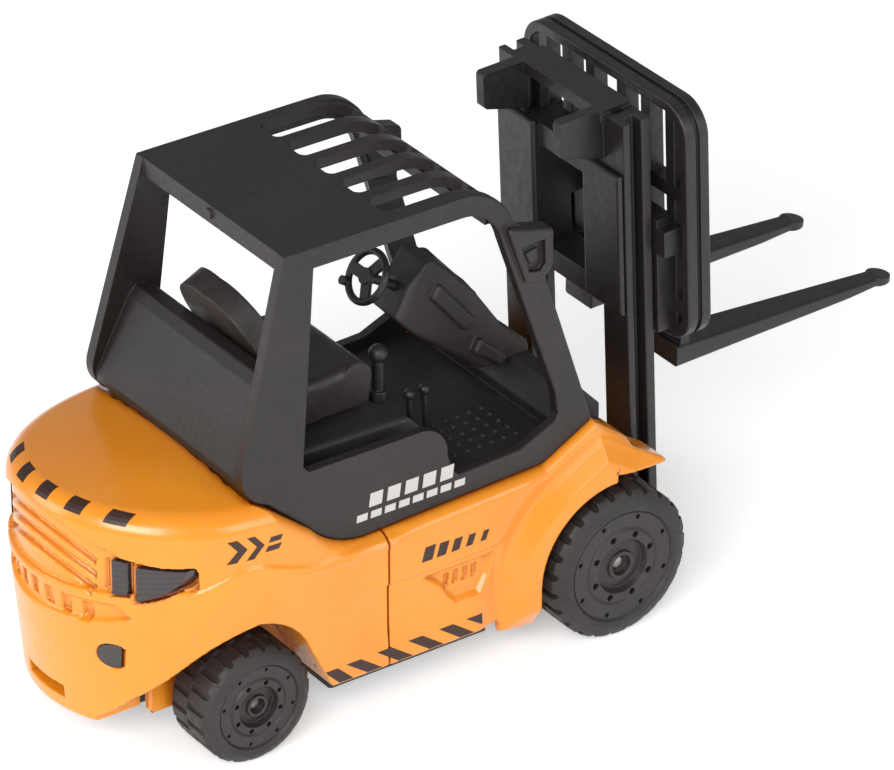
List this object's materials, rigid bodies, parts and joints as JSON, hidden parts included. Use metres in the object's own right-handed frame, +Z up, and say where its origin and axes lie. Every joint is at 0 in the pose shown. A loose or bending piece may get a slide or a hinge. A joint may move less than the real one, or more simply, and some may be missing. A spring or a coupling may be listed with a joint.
{
  "type": "toy forklift",
  "caption": "Small toy forklift truck with cast body shells, open moulded cab, rolling wheels, turning steering wheel, tilting mast and sliding fork carriage.",
  "frame": {"origin": "on the ground below the centre of the plan box", "axes": "+X forward along the forks, +Y to the truck's left, +Z up; the middle plane is y = 0"},
  "size_m": [0.1994, 0.0706, 0.1096],
  "materials": {
    "body_paint": "gloss orange-yellow",
    "black_plastic": "satin black",
    "seat_plastic": "fine grain black",
    "tyre_rubber": "matte black",
    "hub_plastic": "satin black",
    "steel": "bright",
    "lamp_dark": "dark gloss"
  },
  "bodies": {
    "chassis": {"rear_body_shell": "body_paint", "front_body_shell": "body_paint", "base_plate": "black_plastic", "base_screws": "steel", "tail_lamp_left": "lamp_dark", "tail_lamp_right": "lamp_dark", "bumper_lamp_left": "lamp_dark", "bumper_lamp_right": "lamp_dark", "cab_frame": "black_plastic", "interior_tub": "black_plastic", "seat": "seat_plastic", "steering_column": "black_plastic", "drive_lever": "black_plastic", "valve_levers": "black_plastic", "mast_pin": "steel"},
    "front_wheels": {"front_axle": "steel", "front_hub_left": "hub_plastic", "front_hub_right": "hub_plastic", "front_tyre_left": "tyre_rubber", "front_tyre_right": "tyre_rubber"},
    "rear_wheels": {"rear_axle": "steel", "rear_hub_left": "hub_plastic", "rear_hub_right": "hub_plastic", "rear_tyre_left": "tyre_rubber", "rear_tyre_right": "tyre_rubber"},
    "steering": {"steering_wheel": "black_plastic"},
    "mast": {"mast_frame": "black_plastic"},
    "lift": {"carriage": "black_plastic", "backrest": "black_plastic", "fork_left": "black_plastic", "fork_right": "black_plastic"}
  },
  "joints": [
    {"name": "front_axle_spin", "type": "hinge", "parent": "chassis", "child": "front_wheels", "pos_m": [0.0173, 0, 0.0164], "axis": [0, 1, 0], "continuous": true},
    {"name": "rear_axle_spin", "type": "hinge", "parent": "chassis", "child": "rear_wheels", "pos_m": [-0.0677, 0, 0.0126], "axis": [0, 1, 0], "continuous": true},
    {"name": "steering_turn", "type": "hinge", "parent": "chassis", "child": "steering", "pos_m": [-0.0203, 0, 0.0788], "axis": [-0.848, 0, 0.53], "continuous": true},
    {"name": "mast_tilt", "type": "hinge", "parent": "chassis", "child": "mast", "pos_m": [0.0268, 0, 0.0146], "axis": [0, 1, 0], "range_deg": [-3.5, 3]},
    {"name": "carriage_lift", "type": "slide", "parent": "mast", "child": "lift", "axis": [-0.0417, 0, 0.9991], "range_m": [-0.04, 0.001]}
  ]
}
